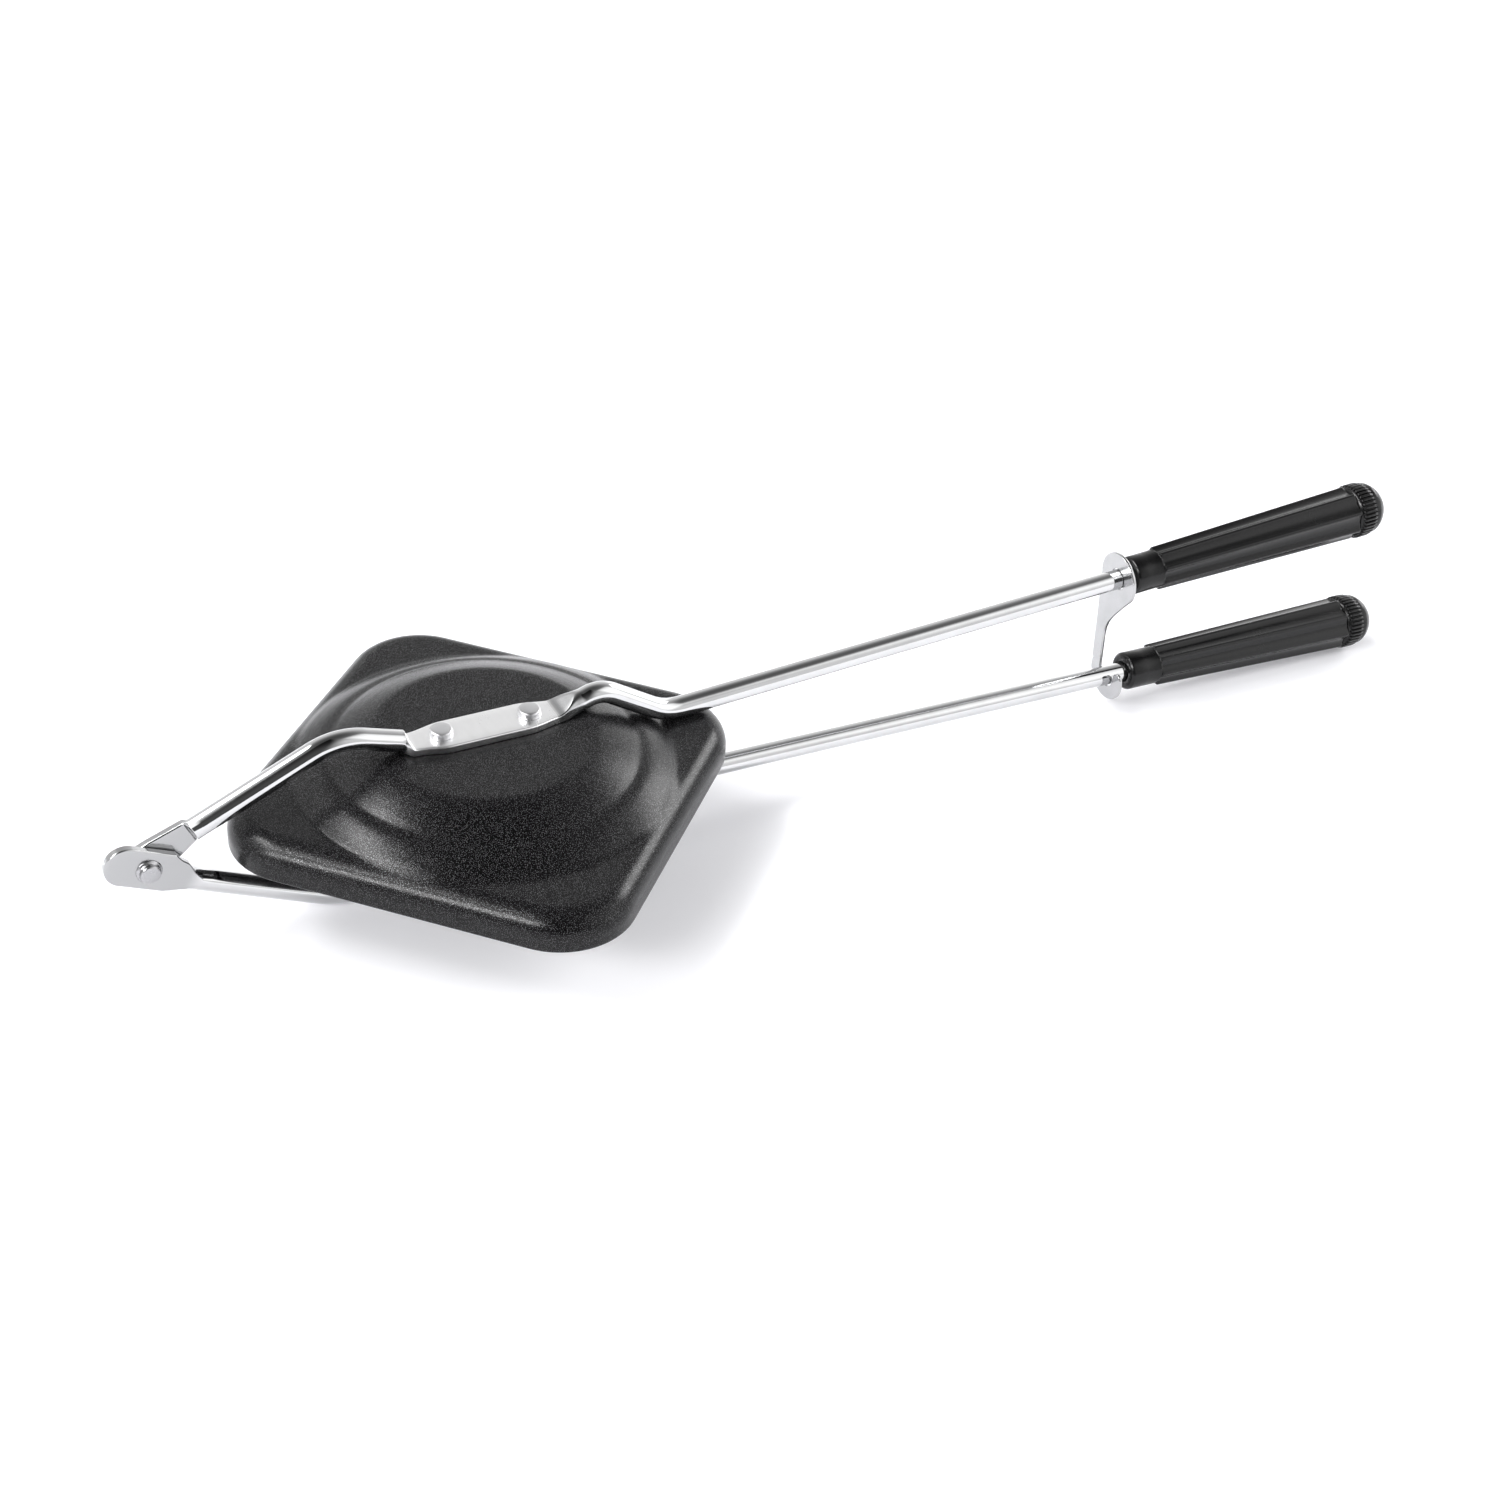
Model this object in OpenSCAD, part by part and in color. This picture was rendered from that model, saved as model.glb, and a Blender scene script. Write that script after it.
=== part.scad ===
// Pie iron: two hinged pressed plates on long rods, with a swinging hook that holds the handles shut.
// X runs from the hinge to the grips, Y across the plates and Z up. The iron lies closed, with its
// parting plane level, and the origin is under the middle of its length, on the surface it lies on.

/* [Plates] */
// Side of the square upper plate, over its skirts
plate_side = 130; // [124:1:136]
// Radius of the plates' corners, seen from above
corner_r = 24; // [18:1:28]
// Radius where a plate's flat rolls over into its skirt
edge_r = 4.5; // [3:0.5:6]
// Thickness of the pressed sheet
sheet_t = 1.5; // [1:0.1:1.8]
// Height of a plate's flat over the parting plane
plate_h = 8.3; // [8:0.1:10]
// How far the upper skirt hangs below the parting plane
skirt_drop = 3.5; // [2:0.1:4]
// How far the lower skirt stands above the parting plane, inside the upper one
skirt_rise = 0.8; // [0.4:0.1:1]
// Gap between the nested skirts
nest_gap = 0.5; // [0.4:0.05:0.8]

/* [Dome] */
// Flat left between the dome's foot and the rolled edge, in the middle of a side
foot_gap = 0.3; // [0.2:0.1:2]
// Radius where the inner step begins
step_r = 48.8; // [45:0.1:51]
// Width of the narrow ledge between the steps
ledge_w = 1.2; // [0.6:0.1:2]
// Radius of the flat disc in the middle
disc_r = 35; // [33:0.1:38]
// Rise of the outer step
step1_h = 5.5; // [4.5:0.1:6.5]
// Rise of the inner step
step2_h = 6.4; // [5.5:0.1:7.5]

/* [Rods] */
// Diameter of the round rods
rod_d = 7; // [6.5:0.1:7.5]
// Thickness of a rod where it is pressed flat
flat_t = 2.7; // [2.4:0.1:3]
// Distance from the plates' centre to the hinge pin
hinge_reach = 107.5; // [105:0.5:112]
// Angle of the leg between the hinge and the front bend
leg_angle = 25; // [23:0.5:26]
// Distance from the pin's own line to the leg's axis
leg_jog = 2.3; // [1.8:0.1:2.6]
// Distance from the plates' centre to the front bend
front_bend_x = 47.6; // [46:0.1:49]
// Radius of the front bend, on the rod's axis
front_bend_r = 22; // [16:1:26]
// Distance from the plates' centre to the rear bend
rear_bend_x = 38.6; // [38:0.1:41]
// Height of the rear bend over the disc
rear_bend_h = 6; // [5.5:0.1:7]
// Radius of the rear bend, on the rod's axis
rear_bend_r = 10; // [8:0.5:11]
// Distance from the plates' centre to the bend where the handle begins
handle_bend_x = 61.7; // [60:0.1:63]
// Radius of the handle bend, on the rod's axis
handle_bend_r = 18; // [14:1:22]
// Height of the upper handle's axis over the parting plane, at its bend
upper_handle_z = 11.7; // [11.7:0.1:13]
// Depth of the lower handle's axis under the parting plane, at its bend
lower_handle_z = 15.1; // [14:0.1:16]
// Angle at which the upper handle rises
upper_handle_angle = 3.4; // [2:0.1:4]
// Angle at which the lower handle falls
lower_handle_angle = 1.3; // [0.5:0.1:2]

/* [Riveted strip] */
// Length of the flat strip on the disc
strip_len = 49; // [47:0.5:51]
// Width of the strip in its middle
strip_w = 13.8; // [12:0.1:15]
// Width of the strip at its ends
strip_end_w = 9.6; // [8:0.1:11]
// Length over which an end of the strip widens
strip_flare = 12; // [10:0.5:14]
// Length of rod that goes from round to flat in front of the strip
front_crimp = 3.2; // [2.5:0.1:4]
// Length of rod that goes from flat to round behind the strip
rear_crimp = 8.4; // [7:0.1:9]
// Distance between the two rivets of a plate
rivet_pitch = 29.2; // [26:0.1:31]
// Diameter of a plate rivet's shank
rivet_d = 4; // [3:0.1:4.5]
// Diameter of a plate rivet's head
rivet_head_d = 7.6; // [6.5:0.1:8.5]
// Height of a plate rivet's head
rivet_head_h = 2.4; // [1.8:0.1:2.8]
// Height of a plate rivet's tail, inside the plate
rivet_tail_h = 0.9; // [0.6:0.1:1.1]

/* [Hinge] */
// Width of the ears that the rods are pressed into
ear_w = 13.2; // [12:0.1:13.6]
// Length of an ear from the pin towards its rod
ear_len = 13.5; // [13:0.1:15]
// Length of rod that goes from ear to round
ear_crimp = 4; // [3:0.1:5]
// How far the lower ear runs on past the pin
ear_past = 6.4; // [5:0.1:6.6]
// Gap between the two ears
ear_gap = 0.3; // [0.2:0.05:0.5]
// Diameter of the hinge rivet's shank
pin_d = 4.8; // [4:0.1:5.4]
// Diameter of the hinge rivet's head
pin_head_d = 8.4; // [7:0.1:9]
// Height of the hinge rivet's head
pin_head_h = 2.4; // [1.8:0.1:2.8]
// Diameter of the washer behind the ears
pin_washer_d = 10; // [9:0.1:11]
// Thickness of that washer
pin_washer_t = 0.8; // [0.6:0.1:1]

/* [Latch hook] */
// Distance along the upper handle from its bend to the hook
hook_at = 176; // [168:0.5:178]
// Thickness of the hook's plate
hook_t = 1.2; // [0.8:0.1:1.6]
// Radius of the hook's round head, about the upper rod
hook_head_r = 9.6; // [8.5:0.1:11]
// Radius of the hook's foot, about the lower rod
hook_foot_r = 9; // [8:0.1:10]
// Width of the arm between head and foot
hook_arm_w = 5; // [4:0.1:5.2]
// How far the hook's lip stands over the lower rod's axis
hook_lip_h = 4; // [2:0.1:4.5]
// Clearance round the upper rod
hook_play = 0.35; // [0.25:0.05:0.5]
// Clearance round the lower rod
hook_slot_play = 0.6; // [0.4:0.05:0.8]

/* [Grips] */
// Distance from the upper handle's bend to its grip
upper_grip_at = 180.2; // [179.5:0.1:184]
// Distance from the lower handle's bend to its grip, clear of the hook
lower_grip_at = 187.1; // [184.5:0.1:190]
// Diameter of the plain collar
collar_d = 13.6; // [12.6:0.1:14]
// Length of the plain collar
collar_len = 11.4; // [8:0.1:14]
// Chamfer on the collar's front
collar_chamfer = 1; // [0.5:0.1:1.5]
// Length of the fluted body
body_len = 85.3; // [75:0.1:95]
// Diameter over the ribs at the body's front
body_front_d = 15.4; // [15:0.1:16.4]
// Diameter over the ribs at the body's rear
body_rear_d = 19.3; // [18:0.1:20]
// Number of ribs
rib_count = 8; // [6:1:10]
// Width of a rib's crest
rib_w = 1.2; // [0.8:0.1:1.6]
// Depth of the flutes between the ribs, under their chord
flute_depth = 0.4; // [0.3:0.05:0.5]
// Depth that the round rod enters the grip
rod_in_grip = 26; // [20:0.5:40]
// Diameter of the rod's thinner tail
tail_d = 5; // [4:0.1:5.4]

/* [End caps] */
// How much wider the knurled rim is than the grip's rear
cap_over = 0.6; // [0.2:0.1:1.6]
// Length of the knurled rim
cap_rim_len = 5.6; // [4:0.1:8]
// Height of the dome
cap_dome_h = 8; // [6:0.1:9.5]
// Length of the neck between grip and rim
cap_neck_len = 0.7; // [0.4:0.1:1.2]
// Number of knurl grooves
knurl_count = 40; // [30:1:48]
// Radius of a knurl groove
knurl_r = 0.5; // [0.3:0.05:0.6]
// Diameter of the threaded insert
insert_d = 8.4; // [7:0.1:9]
// Length of the threaded insert
insert_len = 8.5; // [6:0.1:9]
// Diameter of the grip washer
washer_d = 11; // [9:0.1:12]
// Thickness of the grip washer
washer_t = 0.8; // [0.5:0.1:1.2]

/* [Hidden] */
$fn = 96;

// Finishes
coat_colour = "#2b2c2e";
chrome_colour = "#d8dadd";
steel_colour = "#b9bcc0";
bakelite_colour = "#1d1d1f";
brass_colour = "#b08d48";

// Clearances
fit_gap = 0.05;
bore_gap = 0.1;
cut = 1;
blend_inset = 0.04;

// A bend is a hair thicker than its rod, and the straight rod runs a little way into it
bend_swell = 0.01;
run_lap = 0.3;

// Plates
rod_r = rod_d / 2;
dome_h = step1_h + step2_h;
disc_z = plate_h + dome_h;
nest = sheet_t + nest_gap;

// Rod path of the upper half, in X and Z from the plates' centre and the parting plane
strip_z = disc_z + flat_t / 2;
leg_dir = [cos(leg_angle), sin(leg_angle)];
leg_nor = [-sin(leg_angle), cos(leg_angle)];
pin = [-hinge_reach, 0];
leg_foot = pin + leg_nor * leg_jog;
leg_start = leg_foot + leg_dir * (ear_len + ear_crimp);
leg_run = (pin.x * -1 - front_bend_x + leg_nor.x * -leg_jog) / leg_dir.x;
front_bend = leg_foot + leg_dir * leg_run;
rod_over_disc = 0.3;
ramp_end_z = disc_z + rod_over_disc + rod_r;
front_ramp_end = [-strip_len / 2 - front_crimp, ramp_end_z];
rear_ramp_start = [strip_len / 2 + rear_crimp, ramp_end_z];
rear_bend = [rear_bend_x, disc_z + rear_bend_h];
hump_top = arc_centre(front_bend, leg_angle, angle_of(front_ramp_end - front_bend), front_bend_r).y
  + front_bend_r + rod_r + bend_swell;

// Grips and caps, along the handle from the grip's front
cap_d = body_rear_d + cap_over;
body_end = collar_len + body_len;
rim_start = body_end + cap_neck_len;
cap_base = rim_start + cap_rim_len;
grip_len = cap_base + cap_dome_h;
insert_start = body_end;
tail_end = insert_start + insert_len - 1;

// Hook: distance between the handles' axes in the hook's plane
hook_reach = handle_distance(hook_at);

// Resting place: the iron lies on the lower rod's front bend or on its end cap, whichever is lower
cap_low = lower_handle_z + (lower_grip_at + cap_base) * sin(lower_handle_angle)
  + cap_d / 2 * cos(lower_handle_angle);
lift = max(hump_top, cap_low);
x_front = hinge_reach + ear_past * leg_dir.x + ear_w / 2;
x_rear = handle_bend_x + (lower_grip_at + grip_len) * cos(lower_handle_angle);
shift = (x_front - x_rear) / 2;

function angle_of(v) = atan2(v.y, v.x);
function unit(a) = [cos(a), sin(a)];
function left_of(a) = [-sin(a), cos(a)];

// Centre of the arc that rounds the corner at p, from direction a1 to direction a2
function arc_centre(p, a1, a2, r) =
  p - unit(a1) * arc_tangent(a1, a2, r) + left_of(a1) * r * sign(a2 - a1);

function arc_tangent(a1, a2, r) = r * tan(abs(a2 - a1) / 2);

// Distance from the upper handle's axis to the lower one, square to the upper, at a length along it
function handle_distance(at) =
  let (
    up = unit(upper_handle_angle),
    down = unit(-lower_handle_angle),
    here = [0, upper_handle_z] + up * at,
    there = [0, -lower_handle_z],
    run = ((here - there) * up) / (down * up)
  )
  -((there + down * run - here) * left_of(upper_handle_angle));

module place() {
  translate([shift, 0, lift]) children();
}

// A lower half is the upper half's mirror image in the parting plane
module flip() {
  mirror([0, 0, 1]) children();
}

// ---- Plates ----

// Section of a plate's edge: skirt, rolled edge and flat, out to a reach
module edge_section(reach, er, top, bottom) {
  square_top = top - er;
  translate([0, bottom]) square([reach, square_top - bottom]);
  translate([0, square_top]) square([reach - er, er]);
  translate([reach - er, square_top]) intersection() {
    circle(er);
    square(er);
  }
}

// Square block with round corners and a rolled top edge
module pillow(side, cr, er, top, bottom) {
  straight = side - 2 * cr;
  for (quarter = [0, 90]) rotate([0, 0, quarter]) translate([0, straight / 2, 0])
    rotate([90, 0, 0]) linear_extrude(straight) for (half = [0, 1]) mirror([half, 0])
      edge_section(side / 2, er, top, bottom);
  for (quarter = [0:90:270]) rotate([0, 0, quarter]) translate([straight / 2, straight / 2, 0])
    rotate_extrude(angle = 90) edge_section(cr, er, top, bottom);
}

// Slope offset: how far a surface at this slope sinks when the sheet is offset by t
function sink(rise, run, t) = t * sqrt(1 + pow(rise / run, 2));

// Stepped dome on a foot of this radius, drawn inwards by t
module dome(foot_r, top, t) {
  run1 = foot_r - step_r - ledge_w;
  run2 = step_r - disc_r;
  m1 = step1_h / run1;
  m2 = step2_h / run2;
  d1 = (sink(step1_h, run1, t) - t) / m1;
  d2 = (sink(step2_h, run2, t) - t) / m2;
  base = top - t;
  rotate_extrude() polygon([
    [0, base - 3],
    [foot_r - d1, base - 3],
    [foot_r - d1, base],
    [step_r + ledge_w - d1, base + step1_h],
    [step_r - d2, base + step1_h],
    [disc_r - d2, base + dome_h],
    [0, base + dome_h]
  ]);
}

module shell(side, cr, bottom) {
  foot_r = side / 2 - edge_r - foot_gap;
  difference() {
    union() {
      rotate([0, 0, 45]) pillow(side, cr, edge_r, plate_h, bottom);
      dome(foot_r, plate_h, 0);
    }
    rotate([0, 0, 45])
      pillow(side - 2 * sheet_t, cr - sheet_t, edge_r - sheet_t, plate_h - sheet_t, bottom - cut);
    dome(foot_r, plate_h, sheet_t);
    rivet_places() cylinder(h = 2 * disc_z, d = rivet_d + 2 * fit_gap);
  }
}

module upper_plate() {
  color(coat_colour) place() shell(plate_side, corner_r, -skirt_drop);
}

module lower_plate() {
  color(coat_colour) place() flip() shell(plate_side - 2 * nest, corner_r - nest, -skirt_rise);
}

// ---- Rods ----

module rivet_places() {
  for (side = [-1, 1]) translate([side * rivet_pitch / 2, 0, 0]) children();
}

// Draws what is laid out in X and Y in the plane of X and Z
module upright() {
  rotate([90, 0, 0]) children();
}

module round_run(from, to) {
  translate(from) rotate([0, 90, angle_of(to - from)]) cylinder(h = norm(to - from), r = rod_r);
}

module round_bend(p, a1, a2, r) {
  turn = a2 - a1;
  first = turn > 0 ? a1 - 90 : a2 + 90;
  translate(arc_centre(p, a1, a2, r))
    rotate([0, 0, first]) rotate_extrude(angle = abs(turn)) translate([r, 0]) circle(rod_r + bend_swell);
}

// Round rod along a list of points, with a radius at each inner point
module round_path(points, radii) {
  last = len(points) - 1;
  for (i = [0:last - 1]) {
    a = angle_of(points[i + 1] - points[i]);
    before = i == 0 ? 0 :
      arc_tangent(angle_of(points[i] - points[i - 1]), a, radii[i]) - run_lap;
    after = i == last - 1 ? 0 :
      arc_tangent(a, angle_of(points[i + 2] - points[i + 1]), radii[i + 1]) - run_lap;
    round_run(points[i] + unit(a) * before, points[i + 1] - unit(a) * after);
    if (i > 0) round_bend(points[i], angle_of(points[i] - points[i - 1]), a, radii[i]);
  }
}

// Slice of the round rod, for blending into a flat
module round_slice(p, a) {
  translate(p) rotate([0, 90, a]) cylinder(h = 0.4, r = rod_r * 1.005, center = true, $fn = 36);
}

// Slice of a flat, w wide in the drawing plane and t thick across it
module flat_slice(p, a, w, t, side) {
  translate([p.x, p.y, side]) rotate([0, 0, a]) cube([0.2, w - blend_inset, t - blend_inset], center = true);
}

// Ear: a flat round the pin, blended into the leg; side is its middle's distance from the rod's plane
module ear(past, side) {
  translate([pin.x, pin.y, side]) rotate([0, 0, leg_angle]) linear_extrude(flat_t, center = true) {
    translate([-past, 0]) circle(d = ear_w);
    translate([-past, -ear_w / 2]) square([past + ear_len, ear_w]);
  }
  hull() {
    flat_slice(pin + leg_dir * (ear_len - 0.3), leg_angle, ear_w, flat_t, side);
    round_slice(leg_start, leg_angle);
  }
}

// Strip riveted on the disc, blended into the ramps at both ends
module strip() {
  translate([0, 0, disc_z]) linear_extrude(flat_t) for (side = [0, 1]) mirror([side, 0])
    polygon([
      [0, -strip_w / 2],
      [strip_len / 2 - strip_flare, -strip_w / 2],
      [strip_len / 2, -strip_end_w / 2],
      [strip_len / 2, strip_end_w / 2],
      [strip_len / 2 - strip_flare, strip_w / 2],
      [0, strip_w / 2]
    ]);
}

module strip_blends() {
  front_a = angle_of(front_ramp_end - front_bend);
  rear_a = angle_of(rear_bend - rear_ramp_start);
  hull() {
    flat_slice([-strip_len / 2 + 0.3, strip_z], 0, flat_t, strip_end_w, 0);
    round_slice(front_ramp_end, front_a);
  }
  hull() {
    flat_slice([strip_len / 2 - 0.3, strip_z], 0, flat_t, strip_end_w, 0);
    round_slice(rear_ramp_start, rear_a);
  }
}

module rod(handle_z, handle_angle, grip_at, past, side) {
  handle_bend = [handle_bend_x, handle_z];
  shoulder = handle_bend + unit(handle_angle) * (grip_at + rod_in_grip - fit_gap);
  tail = handle_bend + unit(handle_angle) * (grip_at + tail_end);
  difference() {
    union() {
      upright() {
        round_path([leg_start, front_bend, front_ramp_end], [0, front_bend_r]);
        round_path([rear_ramp_start, rear_bend, handle_bend, shoulder], [0, rear_bend_r, handle_bend_r]);
        translate(shoulder - unit(handle_angle)) rotate([0, 90, handle_angle])
          cylinder(h = norm(tail - shoulder) + 1, d = tail_d);
        ear(past, side);
        strip_blends();
      }
      strip();
    }
    rivet_places() cylinder(h = 2 * disc_z, d = rivet_d + 2 * fit_gap);
    translate([pin.x, 0, pin.y]) rotate([90, 0, 0])
      cylinder(h = 4 * flat_t, d = pin_d + 2 * fit_gap, center = true);
  }
}

ear_side = (ear_gap + flat_t) / 2;

module upper_rod() {
  color(chrome_colour) place()
    rod(upper_handle_z, upper_handle_angle, upper_grip_at, 0, -ear_side);
}

module lower_rod() {
  color(chrome_colour) place() flip()
    rod(lower_handle_z, lower_handle_angle, lower_grip_at, ear_past, ear_side);
}

// ---- Rivets and washers ----

// Rivet head with a rounded rim, standing on Z = 0
module button(d, h, rim) {
  rotate_extrude() {
    square([d / 2 - rim, h]);
    square([d / 2, h - rim]);
    translate([d / 2 - rim, h - rim]) intersection() {
      circle(rim);
      square(rim);
    }
  }
}

module plate_rivets() {
  inside = disc_z - sheet_t;
  tail_d = rivet_head_d - 0.8;
  rivet_places() {
    translate([0, 0, disc_z + flat_t]) button(rivet_head_d, rivet_head_h, rivet_head_h / 2);
    translate([0, 0, inside - 0.4]) cylinder(h = sheet_t + flat_t + 0.8, d = rivet_d);
    translate([0, 0, inside]) mirror([0, 0, 1]) button(tail_d, rivet_tail_h, rivet_tail_h / 2);
  }
}

module upper_plate_rivets() {
  color(steel_colour) place() plate_rivets();
}

module lower_plate_rivets() {
  color(steel_colour) place() flip() plate_rivets();
}

ears_y = ear_gap / 2 + flat_t;
washer_y = ears_y + fit_gap;

// Rivet through both ears; its head lies on the lower rod's ear
module hinge_rivet() {
  peen_y = washer_y + pin_washer_t + fit_gap;
  color(steel_colour) place() translate([pin.x, 0, pin.y]) {
    translate([0, -ears_y, 0]) rotate([90, 0, 0]) button(pin_head_d, pin_head_h, pin_head_h / 2);
    translate([0, peen_y + 0.5, 0]) rotate([90, 0, 0]) cylinder(h = peen_y + ears_y + 1, d = pin_d);
    translate([0, peen_y, 0]) rotate([-90, 0, 0]) button(pin_head_d - 1, pin_head_h - 1, (pin_head_h - 1) / 2);
  }
}

module hinge_washer() {
  color(steel_colour) place() translate([pin.x, washer_y, pin.y]) rotate([-90, 0, 0]) difference() {
    cylinder(h = pin_washer_t, d = pin_washer_d);
    translate([0, 0, -cut]) cylinder(h = pin_washer_t + 2 * cut, d = pin_d + 2 * fit_gap);
  }
}

// ---- Latch hook ----

// Places a piece along the upper handle: its Z axis along the handle, its X axis square to it, upwards
module along_handle(handle_z, handle_angle, at) {
  translate([handle_bend_x, 0, handle_z]) rotate([0, 90 - handle_angle, 0])
    translate([0, 0, at]) rotate([0, 0, 180]) children();
}

// Outline of the hook, with the upper rod at the origin and the lower rod hook_reach down along -X
module hook_outline() {
  slot_r = rod_r + hook_slot_play;
  arm_in = slot_r;
  arm_out = arm_in + hook_arm_w;
  neck = hook_reach * 0.5;
  difference() {
    union() {
      circle(hook_head_r);
      translate([-hook_reach, 0]) circle(hook_foot_r);
      polygon([
        [-hook_head_r * 0.6, hook_head_r * 0.8],
        [-neck, -arm_in],
        [-hook_reach, -arm_in],
        [-hook_reach, -arm_out],
        [-hook_head_r, -arm_out],
        [0, -hook_head_r]
      ]);
    }
    translate([-hook_reach, 0]) circle(slot_r);
    translate([-hook_reach, -slot_r]) square([neck, 2 * slot_r]);
    translate([-hook_reach + hook_lip_h, 0]) square([hook_foot_r, hook_foot_r + cut]);
  }
}

module latch_hook() {
  color(steel_colour) place() along_handle(upper_handle_z, upper_handle_angle, hook_at) difference() {
    linear_extrude(hook_t) hook_outline();
    translate([0, 0, -cut]) cylinder(h = hook_t + 2 * cut, r = rod_r + hook_play);
  }
}

// ---- Grips and caps, drawn along Z from the grip's front ----

function mid_chord(r) = sqrt(r * r * (1 + cos(360 / rib_count - 2 * asin(rib_w / 2 / r))) / 2);
function half_chord(r) = sqrt(r * r - pow(mid_chord(r), 2));
function flute_radius(r) = (pow(half_chord(r), 2) + pow(flute_depth, 2)) / (2 * flute_depth);

// One flute cutter: a slim cone that lies along the body
module flute() {
  r1 = body_front_d / 2;
  r2 = body_rear_d / 2;
  c1 = flute_radius(r1);
  c2 = flute_radius(r2);
  x1 = mid_chord(r1) - flute_depth + c1;
  x2 = mid_chord(r2) - flute_depth + c2;
  lean = atan((x2 - x1) / body_len);
  translate([x1, 0, collar_len]) rotate([0, lean, 0]) translate([0, 0, -cut])
    cylinder(h = body_len / cos(lean) + 2 * cut, r1 = c1, r2 = c2);
}

module grip() {
  recess_d = washer_d + 2 * bore_gap;
  difference() {
    rotate_extrude() polygon([
      [0, 0],
      [collar_d / 2 - collar_chamfer, 0],
      [collar_d / 2, collar_chamfer],
      [collar_d / 2, collar_len],
      [body_front_d / 2, collar_len],
      [body_rear_d / 2, body_end],
      [0, body_end]
    ]);
    for (i = [0:rib_count - 1]) rotate([0, 0, (i + 0.5) * 360 / rib_count]) flute();
    translate([0, 0, -cut]) cylinder(h = rod_in_grip + cut, d = rod_d + 2 * bore_gap);
    cylinder(h = body_end + cut, d = tail_d + 2 * bore_gap);
    translate([0, 0, body_end - washer_t - fit_gap]) cylinder(h = washer_t + cut, d = recess_d);
  }
}

module end_cap() {
  dome_r = (pow(cap_d / 2, 2) + pow(cap_dome_h, 2)) / (2 * cap_dome_h);
  difference() {
    union() {
      translate([0, 0, body_end + fit_gap]) cylinder(h = cap_neck_len, d = cap_d - 2.4);
      translate([0, 0, rim_start]) linear_extrude(cap_rim_len) difference() {
        circle(d = cap_d);
        for (i = [0:knurl_count - 1]) rotate(i * 360 / knurl_count)
          translate([cap_d / 2 + knurl_r / 3, 0]) circle(knurl_r, $fn = 24);
      }
      translate([0, 0, cap_base]) rotate_extrude() intersection() {
        translate([0, cap_dome_h - dome_r]) circle(dome_r);
        square([cap_d / 2, cap_dome_h]);
      }
    }
    translate([0, 0, insert_start - cut]) cylinder(h = insert_len + fit_gap + cut, d = insert_d + 2 * fit_gap);
  }
}

module cap_insert() {
  translate([0, 0, insert_start + fit_gap]) difference() {
    cylinder(h = insert_len - fit_gap, d = insert_d);
    translate([0, 0, -cut]) cylinder(h = insert_len - fit_gap, d = tail_d + 2 * fit_gap);
  }
}

module grip_washer() {
  translate([0, 0, body_end - washer_t]) difference() {
    cylinder(h = washer_t, d = washer_d);
    translate([0, 0, -cut]) cylinder(h = washer_t + 2 * cut, d = tail_d + 2 * fit_gap);
  }
}

module on_upper_handle() {
  place() along_handle(upper_handle_z, upper_handle_angle, upper_grip_at) children();
}

module on_lower_handle() {
  place() flip() along_handle(lower_handle_z, lower_handle_angle, lower_grip_at) children();
}

module upper_grip() {
  color(bakelite_colour) on_upper_handle() grip();
}

module lower_grip() {
  color(bakelite_colour) on_lower_handle() grip();
}

module upper_end_cap() {
  color(bakelite_colour) on_upper_handle() end_cap();
}

module lower_end_cap() {
  color(bakelite_colour) on_lower_handle() end_cap();
}

module upper_cap_insert() {
  color(brass_colour) on_upper_handle() cap_insert();
}

module lower_cap_insert() {
  color(brass_colour) on_lower_handle() cap_insert();
}

module upper_washer() {
  color(steel_colour) on_upper_handle() grip_washer();
}

module lower_washer() {
  color(steel_colour) on_lower_handle() grip_washer();
}

upper_plate();
lower_plate();
upper_rod();
lower_rod();
upper_plate_rivets();
lower_plate_rivets();
hinge_rivet();
hinge_washer();
latch_hook();
upper_grip();
lower_grip();
upper_end_cap();
lower_end_cap();
upper_cap_insert();
lower_cap_insert();
upper_washer();
lower_washer();
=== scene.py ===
"""Pie iron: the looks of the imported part, built round its frame."""

import math

import bmesh
import bpy
import numpy as np
from mathutils import Matrix, Vector


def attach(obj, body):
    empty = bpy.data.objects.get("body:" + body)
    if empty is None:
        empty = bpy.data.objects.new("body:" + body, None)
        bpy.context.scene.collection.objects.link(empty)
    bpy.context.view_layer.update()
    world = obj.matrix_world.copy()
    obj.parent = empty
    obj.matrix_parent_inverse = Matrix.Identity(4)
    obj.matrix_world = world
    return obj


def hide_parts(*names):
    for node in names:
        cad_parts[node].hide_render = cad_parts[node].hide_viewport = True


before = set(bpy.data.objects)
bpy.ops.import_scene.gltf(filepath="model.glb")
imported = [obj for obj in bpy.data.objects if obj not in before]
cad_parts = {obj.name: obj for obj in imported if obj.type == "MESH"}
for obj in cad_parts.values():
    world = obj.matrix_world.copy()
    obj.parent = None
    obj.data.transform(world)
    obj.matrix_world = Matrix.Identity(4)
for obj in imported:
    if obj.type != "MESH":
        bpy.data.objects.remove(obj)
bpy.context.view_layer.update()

# ---- Sizes in mm: x and y from the plates' centre, z from the plane where the plates meet ----

SHIFT, LIFT = -119.911, 32.3775
PLATE_SIDE, CORNER_R, SHEET_T, PLATE_H = 130.0, 24.0, 1.5, 8.3
SKIRT_DROP, SKIRT_RISE, NEST = 3.5, 0.8, 2.0
FOOT_R, DISC_R, DOME_H = 60.2, 35.0, 11.9
DISC_Z = PLATE_H + DOME_H
EDGE_R, DOME_BLUR = 7.6, 0.65

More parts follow.
